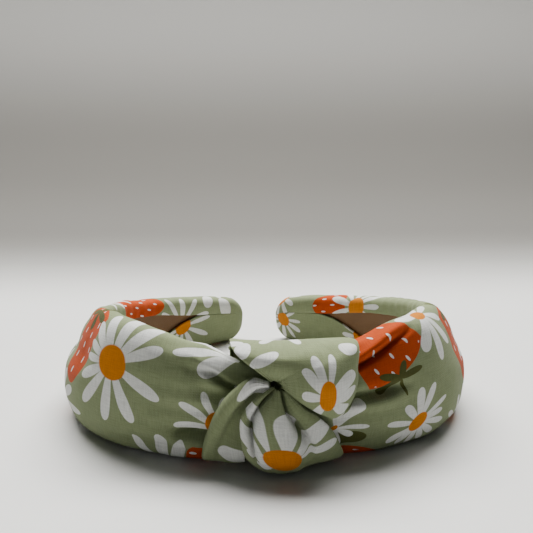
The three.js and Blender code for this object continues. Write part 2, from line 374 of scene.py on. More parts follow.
def sleeve(name, side):
    points = np.zeros((SLEEVE_COLUMNS + 1, SLEEVE_ROWS + 1, 3))
    flat = np.zeros((SLEEVE_COLUMNS + 1, SLEEVE_ROWS + 1, 2))
    for i, station in enumerate(sleeve_stations(SLEEVE_COLUMNS)):
        s = side * station
        path, widest = sleeve_section(s)
        steps = np.linalg.norm(np.diff(path, axis=0), axis=1)
        way = np.concatenate([[0], np.cumsum(steps)])
        spread = np.linspace(0, way[-1], SLEEVE_ROWS + 1)
        r = np.interp(spread, way, path[:, 0])
        z = np.interp(spread, way, path[:, 1])
        share = tip_share(s)
        centre = ((HEM_FACE + bulge(s)) / 2, middle_height(s))
        r = centre[0] + (r - centre[0]) * share
        z = centre[1] + (z - centre[1]) * share
        for j in range(SLEEVE_ROWS + 1):
            points[i, j] = on_band(s, r[j], squeezed(s, z[j]))
        flat[i] = np.stack([np.full(SLEEVE_ROWS + 1, s), spread - way[widest]], axis=1)
    points += grid_normals(points) * sleeve_relief(flat, side)[..., None]
    points[..., 2] = np.maximum(points[..., 2], 0.05)
    points[..., 1] += CROWN_Y
    return cloth_grid(name, points * MM, flat, (0, 0, points[..., 2].mean() * MM))


def sleeve_relief(flat, side):
    """How far the cloth stands out of its smooth shape, in millimetres, counted outwards."""
    u, v = flat[..., 0], flat[..., 1]
    along = np.abs(u)
    outside = between(v, -30, -22, 24, 32)
    relief = RIPPLE_DEPTH * ripple(u, v, 1.0 + side)
    gather = np.exp(-np.maximum(along - GATHER_START, 0) / GATHER_REACH) * outside
    relief += GATHER_DEPTH * gather * np.sin(0.95 * v + 1.2 * side)
    relief += PUCKER_DEPTH * between(along, *PUCKERS) * np.sin(1.1 * u) * smoothstep(np.abs(v), 12, 22)
    for start, end, width, depth, ridge_side in CREASES[side]:
        line = crease(u, v, start, end, width)
        ridge = crease(u, v - 2.4 * width * ridge_side, start, end, 1.6 * width)
        relief += -depth * line + 0.45 * depth * ridge
    relief -= SIDE_PRESS[side] * between(v, *SIDE_PRESS_UP) * between(along, *SIDE_PRESS_ALONG)
    # the knot lies on the cloth, so nothing stands out under it
    relief = np.where(relief > 0, relief * smoothstep(along, *KNOT_EDGE), relief)
    relief -= KNOT_GRIP * (1 - smoothstep(along, KNOT_GRIP_FULL, KNOT_GRIP_END))
    relief *= 1 - smoothstep(along, TIP_END - 12, TIP_END - 3)
    return side * relief


cover_left = sleeve("cover_left", -1)
cover_right = sleeve("cover_right", 1)
for cover in (cover_left, cover_right):
    thicken(cover, COTTON_THICKNESS)


# ---------------------------------------------------------------- lining and wadding
def ribbon(name, side):
    columns, rows = 80, 8
    points = np.zeros((columns + 1, rows + 1, 3))
    flat = np.zeros((columns + 1, rows + 1, 2))
    for i, station in enumerate(np.linspace(0.2, LINING_END, columns + 1)):
        s = side * station
        half = core_height(s) / 2 - 0.5
        for j, share in enumerate(np.linspace(-1, 1, rows + 1)):
            points[i, j] = placed(s, LINING_FACE - 0.12 * (1 - share**2), middle_height(s) + half * share)
            flat[i, j] = (s, half * share)
    piece = cloth_grid(name, points, flat, (0, 0, 0.02))
    change_mesh(piece, turn_over)
    thicken(piece, LINING_THICKNESS)
    soften(piece)
    return piece


def foam_pad(name, side):
    columns, rows = 90, 30
    points = np.zeros((columns + 1, rows + 1, 3))
    flat = np.zeros((columns + 1, rows + 1, 2))
    for i, station in enumerate(np.linspace(0.5, ARM_LENGTH - 15, columns + 1)):
        s = side * station
        filled = smoothstep(station, WADDING_ROOM_END, WADDING_FULL)
        inset = WADDING_INSET + WADDING_CREASE_ROOM * (1 - filled)
        half = cover_height(s) / 2 - inset
        radii = (bulge(s) - inset - WADDING_FACE, half)
        path = superellipse((WADDING_FACE, middle_height(s)), radii, -90, 90, 0.9, rows)
        path = np.concatenate([path, path[:1]])
        end = min(i, columns - i)
        share = min(1.0, 0.55 + 0.15 * end)
        for j, (r, z) in enumerate(path):
            place = placed(s, WADDING_FACE + (r - WADDING_FACE) * share,
                           squeezed(s, middle_height(s) + (z - middle_height(s)) * share))
            points[i, j] = place
            flat[i, j] = (s, z)
    piece = cloth_grid(name, points, flat, (0, 0, 0.02))
    change_mesh(piece, close_up)
    return piece


lining_left = ribbon("lining_left", -1)
lining_right = ribbon("lining_right", 1)
wadding_left = foam_pad("wadding_left", -1)
wadding_right = foam_pad("wadding_right", 1)

# ---------------------------------------------------------------- knot
# Each rib is a line of (x, r, z) points that runs from the tight crossing to the free edge of a fold.
LOBE_RIBS = (
    ((1.9, 9.4, 27.0), (7, 9.4, 23.6), (12, 9.4, 21.0), (15.4, 9.4, 19.8), (18.8, 9.3, 21.6),
     (20.8, 9.0, 23.6), (20.6, 8.6, 24.6)),
    ((2.2, 11.0, 27.2), (7.8, 12.2, 22.2), (12.6, 12.8, 19.0), (16.0, 12.6, 17.6), (19.8, 11.8, 20.2),
     (21.8, 10.6, 22.8), (21.4, 9.2, 23.6)),
    ((2.1, 11.4, 27.6), (8.0, 14.0, 23.4), (13.0, 14.8, 20.8), (16.6, 14.4, 20.0), (20.0, 13.0, 22.0),
     (22.4, 11.2, 25.0), (22.0, 9.0, 25.6)),
    ((2.0, 11.2, 28.0), (7.8, 14.8, 26.0), (13.0, 15.8, 25.0), (17.4, 15.0, 25.2), (21.0, 13.2, 26.8),
     (23.0, 10.9, 28.0), (22.4, 8.8, 28.0)),
    ((1.8, 11.0, 28.4), (7.4, 14.8, 29.0), (12.6, 15.8, 29.8), (17.6, 14.8, 30.6), (21.2, 12.8, 31.6),
     (23.1, 10.4, 32.0), (22.4, 8.6, 32)),
    ((1.4, 10.8, 28.8), (6, 13.8, 31.4), (11, 14.4, 33.6), (16.4, 13.0, 35.0), (22.2, 10.2, 37.4),
     (24.3, 7.4, 38.0), (23.6, 5.2, 37.2)),
    ((1.2, 10.7, 28.9), (5.2, 13.4, 32.0), (9.6, 13.4, 34.8), (14.2, 11.2, 36.6), (19.8, 6.4, 38.5),
     (23.2, 1.6, 38.2), (23.0, -5.8, 35.4)),
    ((1.0, 10.6, 29.0), (4.2, 12.9, 32.4), (6.8, 12.6, 35.6), (9.2, 10.0, 37.6), (11.4, 5.2, 38.5),
     (13.2, 0, 38.2), (14.4, -6.1, 35.6)),
    ((0.4, 10.4, 29.2), (1.0, 12.2, 32.6), (1.6, 11.8, 35.8), (2.0, 9.4, 37.2), (2.4, 5.0, 38.3),
     (2.8, 0, 38.1), (3.2, -6.1, 35.4)),
    ((-0.2, 10.2, 29.2), (-2.8, 11.7, 32.8), (-5.0, 11.2, 35.8), (-6.4, 9.2, 37.7), (-7.4, 5.0, 38.7),
     (-8, 0, 38.4), (-8.4, -6.1, 35.6)),
    ((-0.6, 10.2, 29.0), (-4.0, 11.4, 32.4), (-7.8, 10.8, 35.6), (-10.4, 9.0, 37.8), (-11.8, 4.8, 38.9),
     (-12.6, 0, 38.6), (-13.0, -6.1, 35.8)),
    ((-0.4, 9.2, 28.2), (-3.4, 9.6, 31.2), (-6.8, 9.2, 34.4), (-9.6, 7.4, 36.6), (-11.2, 3.8, 37.6),
     (-11.8, 0, 37.3), (-12.2, -5.6, 35.2)),
)
LEFT_FLAP_RIBS = (
    ((-1.2, 9.2, 28.6), (-5.6, 9.2, 29.4), (-10.8, 9.2, 24.8), (-14.8, 9, 18),
     (-17.6, 8.6, 11.2), (-19.0, 7.6, 6)),
    ((-1.2, 10.6, 29.0), (-6.0, 11.2, 30.6), (-11.6, 11.4, 26), (-15.8, 11.2, 18.8),
     (-18.4, 10.8, 11.4), (-19.8, 9.4, 4.8)),
    ((-1.2, 11.8, 28.6), (-5.6, 13.2, 29.6), (-10.8, 13.6, 24.6), (-14.8, 13.4, 17.6),
     (-17.4, 12.8, 10.8), (-19.0, 11, 4.2)),
    ((-1.2, 11.6, 28.0), (-5.0, 12.9, 27.6), (-9.4, 13.0, 22.8), (-13.0, 12.6, 16.2),
     (-15.6, 12.0, 9.8), (-16.8, 10.6, 3.8)),
    ((-1.1, 10.0, 27.6), (-4.6, 9.4, 26.0), (-8.4, 9.6, 20.8), (-11.8, 10.0, 14.4),
     (-13.8, 10.5, 8.8), (-14.8, 10.0, 3.6)),
    ((-1.0, 9.6, 27.0), (-3.8, 9.2, 24.4), (-6.8, 9.4, 18.4), (-9.2, 10.3, 12.6),
     (-11, 11.0, 7.8), (-11.8, 10.4, 3.2)),
    ((-0.8, 10, 26.6), (-2.6, 9.8, 22.8), (-4.6, 10.2, 16.6), (-6.2, 10.8, 10.8),
     (-7.4, 10.8, 6.8), (-7.8, 9.8, 3.2)),
)
POUCH_RIBS = (
    ((-0.2, 10, 27.6), (-4.0, 10.4, 24.4), (-7.2, 10.6, 19.6), (-7.6, 11, 13.3),
     (-6.6, 11, 7.5), (-4.2, 10.2, 3.8)),
    ((0.0, 11.6, 27.8), (-4.6, 12.6, 25), (-8.4, 13.2, 19.6), (-8.6, 14.0, 13),
     (-7.6, 14.0, 7.2), (-5.0, 12.6, 3.4)),
    ((0.2, 12.0, 27.6), (-4.0, 13.6, 24.4), (-7.4, 14.4, 19), (-7.4, 15.2, 12.8),
     (-6.3, 15.2, 7.2), (-3.9, 13.4, 2.9)),
    ((0.3, 11.0, 27.4), (-3.4, 12.2, 23.4), (-6.2, 12.8, 18.2), (-6.3, 14.6, 12.6),
     (-5.4, 15.4, 7.1), (-3.2, 13.6, 2.6)),
    ((0.3, 10.2, 27.2), (-3.4, 9.8, 22.4), (-5.6, 10.0, 17.4), (-5.5, 12.4, 12.2),
     (-4.5, 15.2, 7), (-2.5, 13.8, 2.4)),
    ((0.4, 11.8, 27.3), (-2.6, 13.6, 23.2), (-4.8, 15.2, 17.2), (-4.8, 16.2, 11.8),
     (-3.6, 16.2, 6.6), (-1.3, 14.0, 2.1)),
    ((0.6, 12.4, 27.4), (-1.2, 15.0, 23.2), (-2.2, 16.8, 16.8), (-1.8, 17.4, 11.4),
     (-0.9, 17.0, 6.2), (0.5, 14.2, 1.8)),
    ((1.0, 12.4, 27.2), (1.2, 15.0, 22.6), (1.8, 16.8, 16.2), (2.6, 17.4, 11.0),
     (3.0, 17.0, 5.8), (3.3, 14.2, 1.8)),
    ((1.4, 12.0, 26.8), (2.6, 13.8, 21.5), (4.6, 15.4, 16.2), (6.2, 16.6, 10.8),
     (6.6, 16.2, 5.8), (6.2, 14.0, 2.2)),
    ((1.9, 10.0, 26.2), (2.6, 9.8, 20.2), (5.4, 10.2, 16.0), (8.8, 13.6, 11.6),
     (9.2, 14.8, 6.8), (8.4, 13.0, 2.8)),
    ((2.4, 11.4, 26.4), (3.8, 12.4, 20.8), (7.0, 13.4, 16.8), (10.4, 14.8, 12.0),
     (11.4, 14.2, 7.2), (10.6, 12.4, 3.2)),
    ((2.8, 11.9, 26.6), (5.6, 13.4, 21.6), (9.2, 14.2, 17.6), (13.0, 14.2, 12.4),
     (14.6, 13.2, 7), (14.2, 11.6, 3.4)),
    ((3.2, 11.6, 26.6), (7.2, 12.8, 21.8), (11.4, 13.4, 18.0), (15.2, 12.8, 13.0),
     (17.8, 11.8, 7), (18.4, 10.4, 3.4)),
    ((3.4, 10.8, 26.4), (7.8, 11.6, 21.4), (12.0, 12.0, 18.0), (15.9, 11.4, 13.2),
     (18.8, 10.6, 7.0), (19.8, 9.4, 3.9)),
    ((3.2, 9.6, 26.0), (7.6, 9.6, 20.6), (11.6, 9.6, 17.2), (14.8, 9.4, 12.8),
     (17.8, 9, 7.2), (18.6, 8.4, 4.6)),
)


# How far the free edge of a fold rolls: share of x, millimetres back and millimetres down
TUCK_ROLL = (0.97, 2.6, 1.2)
TUCK_UNDER = (0.9, 6.0, 1.8)
LOWEST_TUCK = (0.5, 0.3)


def tucked(ribs):
    """Adds the last of each fold, which rolls under its free edge and back towards the band."""
    longer = []
    for rib in ribs:
        x, r, z = rib[-1]
        roll, under = [(x * share, r - back, max(z - down, lowest))
                       for (share, back, down), lowest in zip((TUCK_ROLL, TUCK_UNDER), LOWEST_TUCK)]
        longer.append((*rib, roll, under))
    return longer


def knot_fold(name, ribs, across=7, along=7, wrinkle=0.16):
    """One fold of the knot. Its flat cloth is a fan, spread from the crossing."""
    grid = spline_grid(ribs, across, along)
    columns, rows = grid.shape[0], grid.shape[1]
    lengths = np.linalg.norm(np.diff(grid, axis=1), axis=2)
    way = np.concatenate([np.zeros((columns, 1)), np.cumsum(lengths, axis=1)], axis=1)
    crossing = grid[:, 0].mean(axis=0)[[0, 2]]
    aims = grid[:, (rows * 5) // 9][:, [0, 2]] - crossing
    aims /= np.linalg.norm(aims, axis=1, keepdims=True)
    flat = crossing + way[..., None] * aims[:, None, :]
    i = np.arange(columns)[:, None]
    pulled = np.exp(-way / 7.0)
    relief = wrinkle * (pulled * np.sin(1.9 * i) + 0.9 * ripple(flat[..., 0] * 2, flat[..., 1] * 2, 3.0))
    grid += grid_normals(grid) * relief[..., None]
    points = np.zeros_like(grid)
    for spot in np.ndindex(columns, rows):
        x, r, z = grid[spot]
        points[spot] = placed(x, r, max(z, 0.15))
    piece = cloth_grid(name, points, flat, (0.002, CROWN_Y * MM + 0.02, 0.02))
    soften(piece)
    thicken(piece, COTTON_THICKNESS * 0.8)
    return piece


top_lobe = knot_fold("knot_top_lobe_cloth", LOBE_RIBS, wrinkle=0.09)
left_flap = knot_fold("knot_left_flap_cloth", tucked(LEFT_FLAP_RIBS))
pouch = knot_fold("knot_pouch_cloth", tucked(POUCH_RIBS))


# Places across the inner band, from its left edge to its right one, and how far it stands off the lining
INNER_BAND_PLACES = (-12.8, -12.6, -9, -5, -1, 3, 7, 11, 15, 18, 20.6, 20.8)
INNER_BAND_R = -5.0


def back_band():
    """The part of the knot strip that lies on the inner side of the crown."""
    ribs = []
    top = middle_height(0) + cover_height(0) / 2
    for x in INNER_BAND_PLACES:
        edge = 0.7 if x in (INNER_BAND_PLACES[0], INNER_BAND_PLACES[-1]) else 0.0
        fold = 0.35 * math.sin(0.9 * x)
        high = squeezed(x, top)
        flat_r = INNER_BAND_R + edge
        ribs.append(((x, 2.5, 0.5), (x, -1.5, 0.55), (x, -4.4, 1.4), (x, flat_r + 0.1 - fold, 6),
                     (x, flat_r - fold, 14), (x, flat_r + fold, 22), (x, flat_r - fold, 30),
                     (x, flat_r + 0.1, high - 1.6), (x, -4.2, high + 0.6), (x, -1.5, high + 1.0)))
    return knot_fold("knot_back_band_cloth", ribs, across=5, along=5, wrinkle=0.1)


inner_band = back_band()

# ---------------------------------------------------------------- shader node groups
class Tree:
    """Short names for the nodes of one shader tree or group."""

    def __init__(self, tree):
        self.tree = tree
        self.links = tree.links

    def node(self, kind, **values):
        made = self.tree.nodes.new(kind)
        for key, value in values.items():
            setattr(made, key, value)
        return made

    def put(self, socket, value):
        if isinstance(value, bpy.types.NodeSocket):
            self.links.new(value, socket)
        elif value is not None:
            socket.default_value = value

    def math(self, operation, a, b=None, c=None, clamp=False):
        made = self.node("ShaderNodeMath", operation=operation, use_clamp=clamp)
        for socket, value in zip(made.inputs, (a, b, c)):
            self.put(socket, value)
        return made.outputs[0]

    def times(self, a, b, clamp=False):
        return self.math("MULTIPLY", a, b, clamp=clamp)

    def plus(self, a, b):
        return self.math("ADD", a, b)

    def minus(self, a, b, clamp=False):
        return self.math("SUBTRACT", a, b, clamp=clamp)

    def length(self, x, y):
        return self.math("SQRT", self.plus(self.times(x, x), self.times(y, y)))

    def rounded(self, share, power):
        """From 1 at the root to 0 at the end, as a blunt tip."""
        return self.math("SQRT", self.minus(1.0, self.math("POWER", share, power), clamp=True))

    def ramp(self, value, low, high):
        """Smoothly from 0 at low to 1 at high."""
        made = self.node("ShaderNodeMapRange", interpolation_type="SMOOTHSTEP")
        for name, given in (("Value", value), ("From Min", low), ("From Max", high)):
            self.put(made.inputs[name], given)
        return made.outputs[0]

    def noise(self, vector, scale, detail=2.0):
        made = self.node("ShaderNodeTexNoise")
        self.put(made.inputs["Vector"], vector)
        self.put(made.inputs["Scale"], scale)
        self.put(made.inputs["Detail"], detail)
        return made.outputs[0]


def mix_color_sockets(made):
    return [socket for socket in made.inputs if socket.type == "RGBA"]


def rgba_mix(tree, share, a, b):
    made = tree.node("ShaderNodeMix", data_type="RGBA")
    tree.put(made.inputs[0], share)
    for socket, value in zip(mix_color_sockets(made), (a, b)):
        tree.put(socket, (*value, 1) if isinstance(value, tuple) and len(value) == 3 else value)
    return next(socket for socket in made.outputs if socket.type == "RGBA")


def new_group(name, inputs, outputs):
    group = bpy.data.node_groups.new(name, "ShaderNodeTree")
    for label, kind, value in inputs:
        socket = group.interface.new_socket(label, in_out="INPUT", socket_type=kind)
        if value is not None:
            socket.default_value = value
    for label, kind in outputs:
        group.interface.new_socket(label, in_out="OUTPUT", socket_type=kind)
    tree = Tree(group)
    given = tree.node("NodeGroupInput").outputs
    result = tree.node("NodeGroupOutput").inputs
    return group, tree, given, result


FLOAT, VECTOR = "NodeSocketFloat", "NodeSocketVector"
# How far the print's edge is soft, in millimetres
PRINT_EDGE = (-0.12, 0.14)


def motif_group(name, sizes, outputs):
    """A group that draws one motif. Its x and y are the flat cloth's millimetres, centred on the motif and
    turned to it."""
    inputs = [("Cloth", VECTOR, None)]
    inputs += [(label, FLOAT, value) for label, value in dict(Along=0.0, Up=0.0, Turn=0.0, **sizes).items()]
    group, tree, given, result = new_group(name, inputs, [(label, FLOAT) for label in outputs])
    split = tree.node("ShaderNodeSeparateXYZ")
    tree.put(split.inputs[0], given["Cloth"])
    x = tree.minus(split.outputs[0], given["Along"])
    y = tree.minus(split.outputs[1], given["Up"])
    cosine = tree.math("COSINE", given["Turn"])
    sine = tree.math("SINE", given["Turn"])
    ahead = tree.plus(tree.times(x, cosine), tree.times(y, sine))
    aside = tree.minus(tree.times(y, cosine), tree.times(x, sine))
    return group, tree, given, result, ahead, aside


def flower_group():
    sizes = dict(Eye=5.5, Reach=17.0, Petals=13.0, Width=2.4, Stretch=1.0, Seed=1.0)
    group, tree, given, result, x, y = motif_group("flower", sizes, ("Petal", "Eye"))
    y = tree.times(y, given["Stretch"])
    radius = tree.length(x, y)
    angle = tree.math("ARCTAN2", y, x)
    turns = tree.times(angle, tree.math("DIVIDE", given["Petals"], 2 * math.pi))
    number = tree.math("FLOOR", tree.plus(turns, 0.5))
    off = tree.math("DIVIDE", tree.times(tree.minus(turns, number), 2 * math.pi),
                    given["Petals"])
    petal = tree.math("FLOORED_MODULO", number, given["Petals"])
    dice = tree.node("ShaderNodeTexWhiteNoise", noise_dimensions="2D")
    pair = tree.node("ShaderNodeCombineXYZ")
    tree.put(pair.inputs[0], petal)
    tree.put(pair.inputs[1], given["Seed"])
    tree.put(dice.inputs["Vector"], pair.outputs[0])
    rolls = tree.node("ShaderNodeSeparateColor")
    tree.put(rolls.inputs[0], dice.outputs["Color"])
    reach = tree.times(given["Reach"], tree.math("MULTIPLY_ADD", rolls.outputs[0], 0.3, 0.82))
    width = tree.times(given["Width"], tree.math("MULTIPLY_ADD", rolls.outputs[1], 0.35, 0.8))
    off = tree.math("MULTIPLY_ADD", tree.minus(rolls.outputs[2], 0.5), 0.12, off)
    ahead = tree.times(radius, tree.math("COSINE", off))
    aside = tree.math("ABSOLUTE", tree.times(radius, tree.math("SINE", off)))
    root = tree.times(given["Eye"], 0.55)
    blade = tree.minus(reach, root)
    along = tree.math("DIVIDE", tree.minus(ahead, root), blade, clamp=True)
    taper = tree.rounded(along, 3.4)
    grow = tree.math("POWER", along, 0.55)
    half = tree.times(width, tree.times(taper, grow))
    result_petal = tree.ramp(tree.minus(half, aside), *PRINT_EDGE)
    outside = tree.math("LESS_THAN", ahead, reach)
    tree.put(result["Petal"], tree.times(result_petal, outside))
    edge = tree.math("MULTIPLY_ADD", tree.noise(given["Cloth"], 0.35, 1.0), 0.9, -0.45)
    depth = tree.plus(tree.minus(given["Eye"], radius), edge)
    tree.put(result["Eye"], tree.ramp(depth, -0.15, 0.15))
    return group


def petal_group():
    """One long petal with a rounded end, its root at the middle of the flower."""
    sizes = dict(Length=15.0, Width=2.0)
    group, tree, given, result, x, y = motif_group("petal", sizes, ("Petal",))
    share = tree.math("DIVIDE", x, given["Length"], clamp=True)
    taper = tree.rounded(share, 5.0)
    half = tree.times(tree.math("POWER", share, 0.65), taper)
    half = tree.times(half, tree.times(given["Width"], 1.2))
    inside = tree.ramp(tree.minus(half, tree.math("ABSOLUTE", y)), *PRINT_EDGE)
    in_reach = tree.times(tree.math("LESS_THAN", share, 1.0), tree.math("GREATER_THAN", x, 0.0))
    tree.put(result["Petal"], tree.times(inside, in_reach))
    return group


SEED_ROW = 4.6
SEED_GAP = 6.2


def berry_group():
    sizes = dict(Length=24.0, Width=10.0, Leaf=8.0, Sink=2.5)
    group, tree, given, result, x, y = motif_group("berry", sizes, ("Body", "Dash", "Leaf"))
    leaf_x = x
    x = tree.plus(x, given["Sink"])
    t = tree.math("DIVIDE", x, given["Length"], clamp=True)
    shoulder = tree.math("POWER", tree.times(t, 9.0, clamp=True), 0.4)
    taper = tree.rounded(t, 2.0)
    half = tree.times(given["Width"], tree.times(shoulder, taper))
    inside = tree.ramp(tree.minus(half, tree.math("ABSOLUTE", y)), -0.12, 0.16)
    body = tree.times(inside, tree.math("LESS_THAN", x, given["Length"]))
    body = tree.times(body, tree.math("GREATER_THAN", x, 0.0))
    tree.put(result["Body"], body)
    # seeds stand in staggered rows across the berry
    row = tree.math("FLOOR", tree.math("DIVIDE", x, SEED_ROW))
    shift = tree.times(tree.math("FLOORED_MODULO", row, 2.0), SEED_GAP / 2)
    in_row = tree.minus(tree.math("FLOORED_MODULO", x, SEED_ROW), SEED_ROW / 2)
    across = tree.math("FLOORED_MODULO", tree.plus(y, shift), SEED_GAP)
    across = tree.minus(across, SEED_GAP / 2)
    dash = tree.plus(tree.math("POWER", tree.math("DIVIDE", in_row, 1.15), 2.0),
                     tree.math("POWER", tree.math("DIVIDE", across, 0.38), 2.0))
    dashes = tree.minus(1.0, tree.ramp(dash, 0.8, 1.2))
    deep = tree.ramp(tree.minus(half, tree.math("ABSOLUTE", y)), 1.0, 1.8)
    tree.put(result["Dash"], tree.times(tree.times(dashes, deep), body))
    # calyx: five blunt leaves round the stalk, and the stalk
    x = leaf_x
    radius = tree.length(x, y)
    turns = tree.times(tree.math("ARCTAN2", y, x), 5 / (2 * math.pi))
    off = tree.times(tree.minus(turns, tree.math("ROUND", turns)), 2 * math.pi / 5)
    ahead = tree.times(radius, tree.math("COSINE", off))
    ahead = tree.math("DIVIDE", ahead, given["Leaf"], clamp=True)
    aside = tree.math("ABSOLUTE", tree.times(radius, tree.math("SINE", off)))
    taper = tree.rounded(ahead, 3.0)
    blade = tree.times(tree.math("POWER", ahead, 0.5), taper)
    blade = tree.times(blade, tree.times(given["Leaf"], 0.27))
    leaf = tree.ramp(tree.minus(blade, aside), *PRINT_EDGE)
    leaf = tree.times(leaf, tree.math("LESS_THAN", radius, given["Leaf"]))
    stalk = tree.math("LESS_THAN", tree.math("ABSOLUTE", y), 0.75)
    stalk = tree.times(stalk, tree.math("LESS_THAN", x, 0.0))
    stalk_end = tree.times(given["Leaf"], -1.05)
    stalk = tree.times(stalk, tree.math("GREATER_THAN", x, stalk_end))
    tree.put(result["Leaf"], tree.math("MAXIMUM", leaf, stalk))
    return group


def blade_group():
    """A plain oval leaf or patch."""
    group, tree, given, result, x, y = motif_group("blade", dict(Length=6.0, Width=2.0), ("Blade",))
    ahead = tree.math("POWER", tree.math("ABSOLUTE", tree.math("DIVIDE", x, given["Length"])), 2.4)
    aside = tree.math("POWER", tree.math("ABSOLUTE", tree.math("DIVIDE", y, given["Width"])), 2.0)
    tree.put(result["Blade"], tree.minus(1.0, tree.ramp(tree.plus(ahead, aside), 0.9, 1.1)))
    return group


def weave_group():
    """Plain weave: a height for the bump and a mask of lighter and darker threads."""
    inputs = [("Cloth", VECTOR, None), ("Pitch", FLOAT, 0.5)]
    outputs = [("Height", FLOAT), ("Slub", FLOAT), ("Fade", FLOAT)]
    group, tree, given, result = new_group("weave", inputs, outputs)
    split = tree.node("ShaderNodeSeparateXYZ")
    tree.put(split.inputs[0], given["Cloth"])
    rate = tree.math("DIVIDE", math.pi, given["Pitch"])
    warp = tree.math("SINE", tree.times(split.outputs[0], rate))
    weft = tree.math("SINE", tree.times(split.outputs[1], rate))
    over = tree.times(warp, weft)
    threads = tree.math("MULTIPLY_ADD", over, 0.5, 0.5)
    slubs = []
    for stretch in ((0.25, 3.2, 1), (3.2, 0.25, 1)):
        mapping = tree.node("ShaderNodeMapping")
        tree.put(mapping.inputs["Vector"], given["Cloth"])
        mapping.inputs["Scale"].default_value = stretch
        slubs.append(tree.noise(mapping.outputs[0], 0.9, 3.0))
    slub = tree.times(tree.plus(slubs[0], slubs[1]), 0.5)
    tree.put(result["Height"], tree.math("MULTIPLY_ADD", threads, 0.3, tree.times(slub, 1.8)))
    tree.put(result["Slub"], slub)
    tree.put(result["Fade"], tree.noise(given["Cloth"], 0.09, 2.0))
    return group


FLOWER = flower_group()
PETAL = petal_group()
BERRY = berry_group()
BLADE = blade_group()
WEAVE = weave_group()

# ---------------------------------------------------------------- materials
GREEN = (0.185, 0.222, 0.112)
GREEN_LIGHT = (0.225, 0.262, 0.142)
PETAL_WHITE = (0.66, 0.67, 0.645)
EYE_GOLD = (0.52, 0.165, 0.004)
BERRY_RED = (0.40, 0.046, 0.0)
LEAF_OLIVE = (0.062, 0.068, 0.016)
LINING_TAN = (0.155, 0.072, 0.018)


def placed_group(tree, group, cloth, **values):
    made = tree.node("ShaderNodeGroup")
    made.node_tree = group
    tree.put(made.inputs["Cloth"], cloth)
    for name, value in values.items():
        tree.put(made.inputs[name], value)
    return made


def motif(tree, group, cloth, along, up, turn, **sizes):
    """A motif at a place on the flat cloth, turned by an angle in degrees."""
    return placed_group(tree, group, cloth, Along=along, Up=up, Turn=math.radians(turn), **sizes)


def new_material(name):
    material = bpy.data.materials.new(name)
    material.use_nodes = True
    tree = Tree(material.node_tree)
    shader = material.node_tree.nodes["Principled BSDF"]
    return material, tree, shader


def add_bump(tree, shader, height, distance, strength=None):
    bump = tree.node("ShaderNodeBump")
    for name, value in (("Height", height), ("Distance", distance), ("Strength", strength)):
        tree.put(bump.inputs[name], value)
    tree.put(shader.inputs["Normal"], bump.outputs[0])


def cloth_place(tree):
    source = tree.node("ShaderNodeUVMap")
    source.uv_map = "cloth"
    return source.outputs[0]


def paint_daisy(tree, cloth, color, along, up, eye, petals):
    """A daisy with each petal given as (direction, length, half width)."""
    white = 0.0
    for turn, length, width in petals:
        made = motif(tree, PETAL, cloth, along, up, turn, Length=length, Width=width)
        white = tree.math("MAXIMUM", white, made.outputs["Petal"])
    color = rgba_mix(tree, white, color, PETAL_WHITE)
    if eye is None:
        return color
    long, short, turn = eye
    made = motif(tree, BLADE, cloth, along, up, turn, Length=long, Width=short)
    return rgba_mix(tree, made.outputs["Blade"], color, EYE_GOLD)


def paint_blades(tree, cloth, color, blades, paint):
    for along, up, turn, length, width in blades:
        made = motif(tree, BLADE, cloth, along, up, turn, Length=length, Width=width)
        color = rgba_mix(tree, made.outputs["Blade"], color, paint)
    return color


def printed_cotton(name, berries=(), leaves=(), flowers=(), daisies=(), spots=()):
    """Sage cotton with a printed pattern, in flat cloth millimetres."""
    material, tree, shader = new_material(name)
    cloth = cloth_place(tree)
    weave = placed_group(tree, WEAVE, cloth, Pitch=0.4)
    color = rgba_mix(tree, weave.outputs["Fade"], GREEN, GREEN_LIGHT)
    for along, up, turn, length, width, leaf in berries:
        made = motif(tree, BERRY, cloth, along, up, turn, Length=length, Width=width, Leaf=leaf)
        color = rgba_mix(tree, made.outputs["Body"], color, BERRY_RED)
        color = rgba_mix(tree, made.outputs["Dash"], color, PETAL_WHITE)
        color = rgba_mix(tree, made.outputs["Leaf"], color, LEAF_OLIVE)
    color = paint_blades(tree, cloth, color, leaves, LEAF_OLIVE)
    for along, up, turn, eye, reach, petals, width, stretch, seed in flowers:
        made = motif(tree, FLOWER, cloth, along, up, turn, Eye=eye, Reach=reach, Petals=petals,
                     Width=width, Stretch=stretch, Seed=seed)
        color = rgba_mix(tree, made.outputs["Petal"], color, PETAL_WHITE)
        color = rgba_mix(tree, made.outputs["Eye"], color, EYE_GOLD)
    for along, up, eye, petals in daisies:
        color = paint_daisy(tree, cloth, color, along, up, eye, petals)
    color = paint_blades(tree, cloth, color, spots, PETAL_WHITE)
    shade = tree.math("MULTIPLY_ADD", weave.outputs["Slub"], 0.9, 0.53)
    worn = tree.node("ShaderNodeHueSaturation")
    tree.put(worn.inputs["Color"], color)
    tree.put(worn.inputs["Value"], shade)
    tree.put(shader.inputs["Base Color"], worn.outputs[0])
    tree.put(shader.inputs["Roughness"], tree.math("MULTIPLY_ADD", weave.outputs["Slub"], 0.1, 0.82))
    shader.inputs["Sheen Weight"].default_value = 0.05
    shader.inputs["Sheen Roughness"].default_value = 0.5
    shader.inputs["Specular IOR Level"].default_value = 0.14
    add_bump(tree, shader, weave.outputs["Height"], 0.00018, 0.55)
    return material


